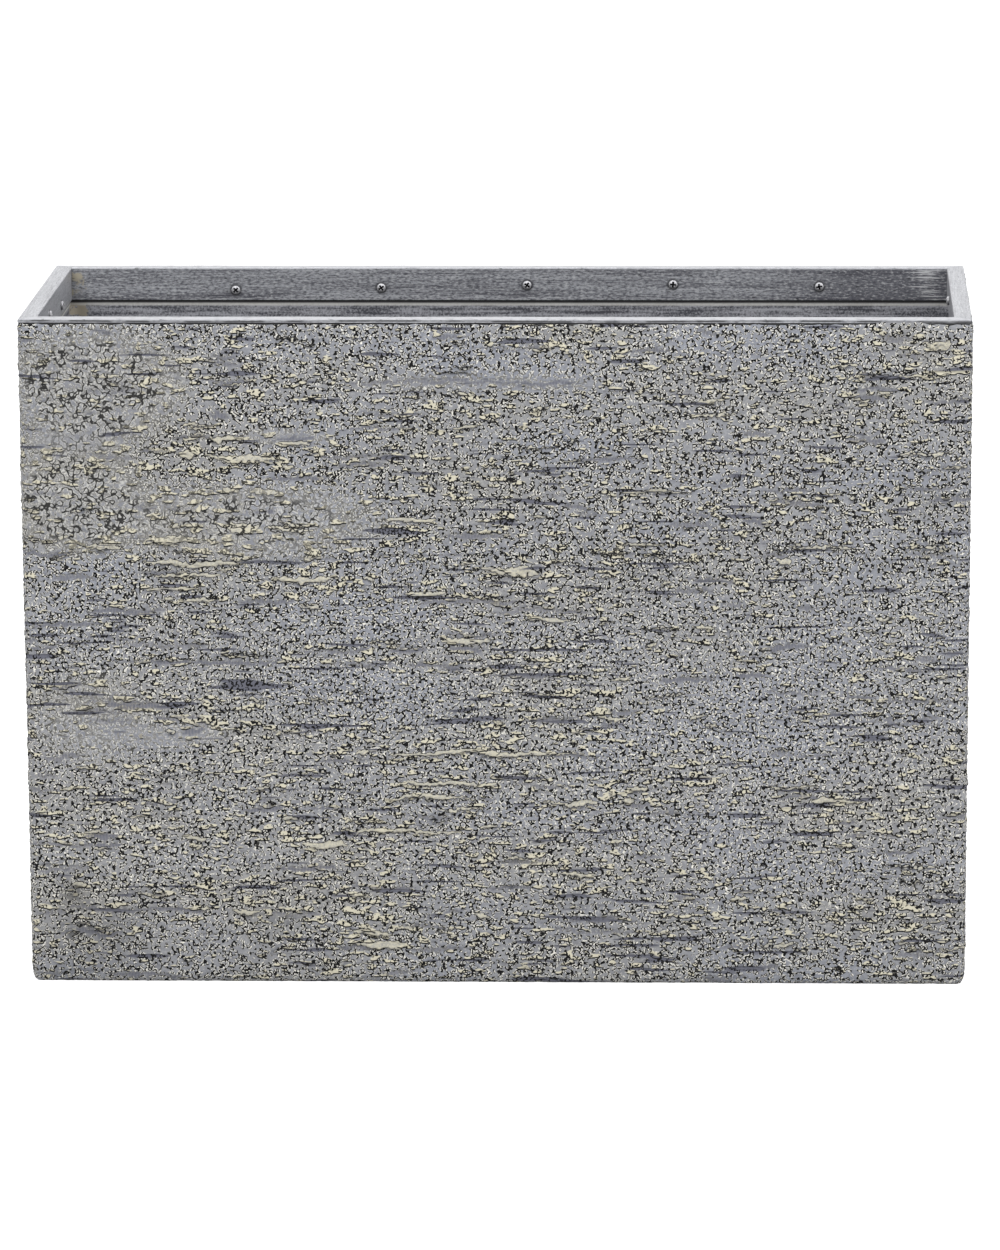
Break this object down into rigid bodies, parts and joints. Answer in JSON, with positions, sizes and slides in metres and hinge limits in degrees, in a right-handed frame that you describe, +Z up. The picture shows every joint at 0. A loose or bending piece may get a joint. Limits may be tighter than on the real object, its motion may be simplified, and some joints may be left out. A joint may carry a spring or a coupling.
{
  "type": "trough planter",
  "caption": "Tall rectangular trough planter of rough moulded clay with a folded sheet-metal rim screwed inside its walls and plugged drain holes.",
  "frame": {"origin": "middle of the flat underside, on the ground", "axes": "+X along the trough, +Y from the front to the back, +Z up"},
  "size_m": [0.7, 0.29, 0.5],
  "materials": {
    "clay": "matte",
    "rim_sheet": "satin",
    "screw_steel": "satin",
    "plug_rubber": "matte"
  },
  "bodies": {
    "planter": {"clay_shell": "clay", "rim_rail_front": "rim_sheet", "rim_rail_back": "rim_sheet", "rim_rail_left": "rim_sheet", "rim_rail_right": "rim_sheet", "rim_screws_front": "screw_steel", "rim_screws_back": "screw_steel", "rim_screws_left": "screw_steel", "rim_screws_right": "screw_steel"},
    "plug_left": {"drain_plug_left": "plug_rubber"},
    "plug_right": {"drain_plug_right": "plug_rubber"}
  },
  "joints": [
    {"name": "plug_left_pull", "type": "slide", "parent": "planter", "child": "plug_left", "axis": [0, 0, 1], "range_m": [0, 0.52]},
    {"name": "plug_right_pull", "type": "slide", "parent": "planter", "child": "plug_right", "axis": [0, 0, 1], "range_m": [0, 0.52]}
  ]
}
